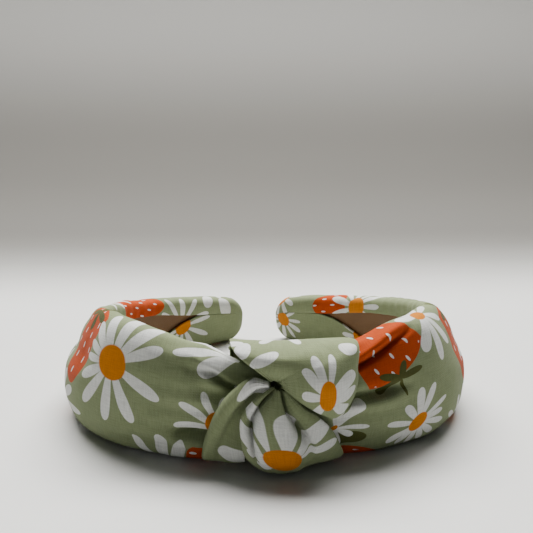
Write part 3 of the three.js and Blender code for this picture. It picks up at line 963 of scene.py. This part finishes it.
def ribbon_material():
    material, tree, shader = new_material("tan_ribbon")
    cloth = cloth_place(tree)
    weave = placed_group(tree, WEAVE, cloth, Pitch=0.7)
    dark = tuple(0.72 * part for part in LINING_TAN)
    color = rgba_mix(tree, weave.outputs["Slub"], dark, LINING_TAN)
    tree.put(shader.inputs["Base Color"], color)
    tree.put(shader.inputs["Roughness"], tree.math("MULTIPLY_ADD", weave.outputs["Fade"], 0.15, 0.62))
    shader.inputs["Sheen Weight"].default_value = 0.05
    add_bump(tree, shader, weave.outputs["Height"], 0.0002, 0.7)
    return material


def object_noise_material(name, light, dark, scale, roughness, bump_height):
    material, tree, shader = new_material(name)
    place = tree.node("ShaderNodeTexCoord").outputs["Object"]
    grain = tree.noise(place, scale, 4.0)
    tree.put(shader.inputs["Base Color"], rgba_mix(tree, grain, dark, light))
    tree.put(shader.inputs["Roughness"], tree.math("MULTIPLY_ADD", grain, 0.2, roughness))
    add_bump(tree, shader, grain, bump_height)
    return material


# The print, in flat cloth millimetres and degrees. Berries: along, up, turn, length, half width, leaf.
# Leaves and spots: along, up, turn, half length, half width. Flowers: along, up, turn, eye, reach, petals,
# petal half width, stretch, seed. Daisies: along, up, eye (half length, half width, turn), petals.
# A berry's leaf of 0.1 leaves out its calyx, and a daisy with None has no eye.
LEFT_PRINT = dict(
    berries=((-64, 24, -96, 30, 9.5, 8), (-104, 22, 178, 31, 9.5, 0.1), (-22.8, -18.5, 0, 24, 6.2, 0.1),
             (-150, -8, 200, 22, 8, 7)),
    leaves=((-90, -16, 30, 6, 2.2),),
    flowers=((-97, 11, 15, 4.8, 17, 12, 2.2, 1, 3), (-79, -13, 0, 5, 17, 12, 2.4, 1, 4),
             (-144, -33.5, 20, 4, 16, 11, 2.0, 1, 5), (-143.5, 32, 10, 3.6, 16, 11, 2.0, 1, 6),
             (-124, -8, 40, 4.6, 15, 12, 2.1, 1, 7), (-168, 4, 5, 4.2, 13, 11, 1.9, 1, 8),
             (-96, -34, 0, 4.6, 14, 12, 2, 1, 9)),
    daisies=(
        (-46.5, 9.6, (5.4, 4.5, 98),
         ((27, 16.8, 2.1), (-29, 16.8, 2.2), (-70, 18.8, 2.1), (-97, 19.6, 1.9), (-124, 19.6, 1.9),
          (-148, 14.5, 2.0), (-176, 11.5, 1.5), (158, 11.5, 1.6), (132, 15, 2.0), (108, 17, 2.2),
          (78, 19, 2.3), (51, 20, 2.3))),
        (-9.5, 20.5, None, ((190, 19.5, 1.9), (219, 14.5, 3.1), (165, 17, 2.0))),
        (-15.4, -5, (5, 3.4, 90),
         ((146, 12.6, 1.7), (186, 12.6, 1.9), (110, 11.8, 1.3), (78, 10, 1.4), (-152, 7, 1.5))),
        (-31.5, -27, (4.6, 4.2, 0),
         ((124, 16.8, 1.5), (94, 17, 2.2), (70, 17, 2.2), (152, 15, 1.9), (182, 15, 2), (212, 14, 2),
          (-50, 15, 2), (-90, 15, 2)))),
    spots=((-157, 19, 70, 4, 2.4), (-166, 21, 100, 5, 3)),
)
RIGHT_PRINT = dict(
    berries=((37.4, 9.8, 122, 28, 11.0, 0.1), (73, 20, -90, 30, 10.5, 8), (142, 23, -2, 17, 9, 0.1),
             (16, -19.6, -4, 19, 5.6, 0.1), (110, -8, 160, 24, 9, 8)),
    leaves=((38, 8.4, 74, 2.8, 1.1), (40.8, 6.8, 13, 3.6, 1.1), (33.9, 7.2, 160, 3.7, 1.2),
            (33.8, 4.4, 24, 4.1, 1.35), (38.2, 3, -74, 3.2, 0.45), (21.6, -10.9, -12, 6, 2.5),
            (92, -20, 20, 6, 2.2)),
    flowers=((133, 25, 12, 4.6, 15, 11, 2.2, 1, 11), (173, -27.5, 25, 3.6, 11, 11, 1.5, 1, 12),
             (88, 2, 0, 5, 17, 12, 2.4, 1, 13), (68, -22, 20, 4.6, 14, 12, 2.0, 1, 14),
             (152, -6, 0, 4.4, 14, 12, 2.0, 1, 15), (132, -30, 40, 4.2, 12, 11, 1.8, 1, 16),
             (174, 14, 10, 3.6, 11, 11, 1.6, 1, 17)),
    daisies=(
        (50.6, 23.6, (2.8, 2.4, 0),
         ((-108, 13, 2.3), (-81, 17, 1.9), (-54, 16.5, 1.9), (-22, 12.5, 1.6), (20, 10, 1.5),
          (58, 9.5, 1.6), (98, 9.5, 1.8), (140, 10, 1.8), (178, 9.8, 2.2))),
        (43.5, -10.9, (3.5, 2.5, 48),
         ((122, 8.4, 1.5), (89, 11.9, 1.6), (66, 13, 1.5), (27, 12, 1.1), (7, 9.4, 1.3),
          (-18, 11, 1.4), (-46, 10, 1.4), (-72, 9.6, 1.4), (-100, 9.6, 1.4), (-128, 9.4, 1.4),
          (-150, 10.8, 1.5), (168, 10.2, 1.4))),
        (17.2, -5.8, (1.1, 0.7, 40),
         ((44, 11.2, 2.4), (-9, 10.6, 1.1), (-40, 7.5, 1.4), (80, 9, 1.6), (-80, 8, 1.5)))),
)
LOBE_PRINT = dict(
    daisies=((13.9, 26.8, (4.0, 2.2, 88),
              ((132, 8.6, 1.5), (106, 10.6, 1.5), (78, 10.8, 1.1), (28, 9.8, 2.8), (-16, 9.2, 2.5),
               (176, 6.8, 1.5), (-56, 9.5, 1.7), (-124, 8, 1.5))),),
    spots=((-1.8, 36, 45, 4.2, 1.8), (-8.3, 38.3, 118, 3.4, 1.8), (-12.2, 40, 20, 2.4, 1.5),
           (21.8, 38.6, 0, 2.5, 1.9), (-3, 47, 60, 5, 2), (9, 48, 100, 5, 2)),
)
POUCH_PRINT = dict(
    daisies=((-0.6, 7.6, None, ((95, 13.2, 1.5),)), (2.9, 7.0, None, ((87, 13.4, 2.7),)),
             (5.0, 7.2, None, ((57, 12, 2.7),)), (5.6, 7, None, ((20, 10.6, 1.6),)),
             (-2.6, 1.8, None, ((103, 14.5, 2.5),)),
             (2.1, 5.6, (4.9, 4.0, 0), ((170, 9, 1.8), (200, 9, 1.9)))),
)
FLAP_PRINT = dict(spots=((-10.4, 6.2, -4, 6.2, 2.2), (-4.2, 24.3, 46, 5.4, 0.6)))
INNER_PRINT = dict(flowers=((4, -16, 0, 4.6, 14, 12, 2.2, 1, 21),))

for piece, name, pattern in (
        (cover_left, "left", LEFT_PRINT), (cover_right, "right", RIGHT_PRINT),
        (top_lobe, "lobe", LOBE_PRINT), (pouch, "pouch", POUCH_PRINT),
        (left_flap, "flap", FLAP_PRINT), (inner_band, "inner_band", INNER_PRINT)):
    piece.data.materials.append(printed_cotton("cotton_" + name, **pattern))

tan_ribbon = ribbon_material()
white_foam = object_noise_material("white_foam", (0.83, 0.81, 0.76), (0.7, 0.68, 0.62), 900, 0.85, 0.0002)
ivory_plastic = object_noise_material("ivory_plastic", (0.78, 0.76, 0.7), (0.72, 0.7, 0.63),
                                      220, 0.4, 0.00003)
for piece in (lining_left, lining_right):
    piece.data.materials.append(tan_ribbon)
for piece in (wadding_left, wadding_right):
    piece.data.materials.append(white_foam)
for node in ("band_core_front", "band_core_left_arm", "band_core_right_arm"):
    core = frame["nodes"][node]
    core.data.materials.clear()
    core.data.materials.append(ivory_plastic)

# ---------------------------------------------------------------- which pieces hang on the crown and what they stand for
def bends_with(piece, side):
    x, y, _ = arm_point(FLEX_STATION)
    hinge = Vector((x * MM, (y + CROWN_Y) * MM, 0))
    start = hinge - BLEND_DIRECTION * BLEND_BEFORE * MM
    end = hinge + BLEND_DIRECTION * BLEND_AFTER * MM
    start.x *= side
    end.x *= side
    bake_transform(piece)


for side, body, cover, lining, wadding, name in (
        (-1, "left_arm", cover_left, lining_left, wadding_left, "left"),
        (1, "right_arm", cover_right, lining_right, wadding_right, "right")):
    for piece in (cover, lining, wadding):
        bends_with(piece, side)
    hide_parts(f"cover_{name}_front", f"cover_{name}_arm", f"end_wrap_{name}")
    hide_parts(f"lining_{name}_arm")
    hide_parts(f"wadding_{name}_arm")
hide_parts("lining_front")
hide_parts("wadding_front")

for piece, cut, nodes in ((top_lobe, (0.042, 0.032), ("knot_top_lobe",)),
                          (left_flap, (0.032, 0.022), ("knot_left_flap",)),
                          (pouch, (0.042, 0.032), ("knot_pouch", "knot_right_flap")),
                          (inner_band, (0.034, 0.044), ("knot_back_band",))):
    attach(piece, "crown")
    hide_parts(*nodes)

# ---------------------------------------------------------------- floor, light and camera
# The table and backdrop's profile, in metres
TABLE_FRONT = -1.5
TABLE_END = 0.2
TABLE_HALF_WIDTH = 1.6
CURVE_RADIUS = 0.25
CURVE_STEPS = 12
WALL_TOP = 1.6


def sweep_backdrop():
    """A pale table that curves up into a grey backdrop, with painted shade darkening a band where it curves
    up.
    """
    bm = bmesh.new()
    profile = [(TABLE_FRONT, 0), (TABLE_END, 0)]
    for step in range(1, CURVE_STEPS + 1):
        angle = step / CURVE_STEPS * math.pi / 2
        profile.append((TABLE_END + CURVE_RADIUS * math.sin(angle), CURVE_RADIUS * (1 - math.cos(angle))))
    profile.append((TABLE_END + CURVE_RADIUS, WALL_TOP))
    chain = [bm.verts.new((-TABLE_HALF_WIDTH, y, z)) for y, z in profile]
    edges = [bm.edges.new(pair) for pair in zip(chain, chain[1:])]
    widened = bmesh.ops.extrude_edge_only(bm, edges=edges)["geom"]
    moved = [part for part in widened if isinstance(part, bmesh.types.BMVert)]
    bmesh.ops.translate(bm, verts=moved, vec=(2 * TABLE_HALF_WIDTH, 0, 0))
    for face in bm.faces:
        face.smooth = True
    bm.normal_update()
    if sum(face.normal.z for face in bm.faces) < 0:
        turn_over(bm)
    backdrop = finish_mesh("table", bm)
    material, tree, shader = new_material("pale_table")
    place = tree.node("ShaderNodeTexCoord").outputs["Object"]
    split = tree.node("ShaderNodeSeparateXYZ")
    tree.put(split.inputs[0], place)
    # painted shade: towards the back the table darkens into a dark band at the foot of the curve, below the
    # plain grey wall
    back = tree.ramp(split.outputs[1], 0.11, 0.29)
    curving = tree.ramp(split.outputs[2], 0.015, 0.06)
    raised = tree.ramp(split.outputs[2], 0.08, 0.24)
    wall = rgba_mix(tree, curving, (0.16, 0.155, 0.143), (0.14, 0.135, 0.124))
    wall = rgba_mix(tree, raised, wall, (0.37, 0.365, 0.35))
    tree.put(shader.inputs["Base Color"], rgba_mix(tree, back, (0.73, 0.73, 0.71), wall))
    gloss = tree.noise(place, 40.0)
    tree.put(shader.inputs["Roughness"], tree.math("MULTIPLY_ADD", gloss, 0.08, 0.3))
    tree.put(shader.inputs["Specular IOR Level"], tree.math("MULTIPLY_ADD", back, -0.35, 0.35))
    backdrop.data.materials.append(material)


def area_light(name, place, aim, size, power, color=(1, 1, 1)):
    light = bpy.data.lights.new(name, "AREA")
    light.shape = "RECTANGLE"
    light.size, light.size_y = size
    light.energy = power
    light.color = color
    lamp = bpy.data.objects.new(name, light)
    lamp.location = place
    lamp.rotation_euler = (Vector(aim) - Vector(place)).to_track_quat("-Z", "Y").to_euler()
    bpy.context.scene.collection.objects.link(lamp)


def make_lights():
    area_light("window_overhead", (0.0, 0.42, 0.70), (0, 0.0, 0.0), (0.9, 0.55), 43.0, (1.0, 0.99, 0.97))
    area_light("front_fill", (-0.3, -0.9, 0.5), (0, 0, 0.02), (0.8, 0.6), 0.2, (0.98, 0.99, 1.0))
    world = bpy.data.worlds.new("soft_room")
    world.use_nodes = True
    sky = world.node_tree.nodes["Background"]
    sky.inputs["Color"].default_value = (0.95, 0.97, 1.0, 1)
    sky.inputs["Strength"].default_value = 0.05
    bpy.context.scene.world = world


CAMERA_PLACE = (-10.1, CROWN_Y - 187.3, 103.0)
CAMERA_TURN = 2.6
CAMERA_TILT = 12.6
CAMERA_LENS = 43.9


def make_camera():
    camera = bpy.data.cameras.new("camera")
    camera.lens = CAMERA_LENS
    camera.sensor_width = 36.0
    holder = bpy.data.objects.new("camera", camera)
    holder.location = [part * MM for part in CAMERA_PLACE]
    holder.rotation_euler = (math.radians(90 - CAMERA_TILT), 0, math.radians(-CAMERA_TURN))
    bpy.context.scene.collection.objects.link(holder)
    bpy.context.scene.camera = holder


sweep_backdrop()
make_lights()
make_camera()
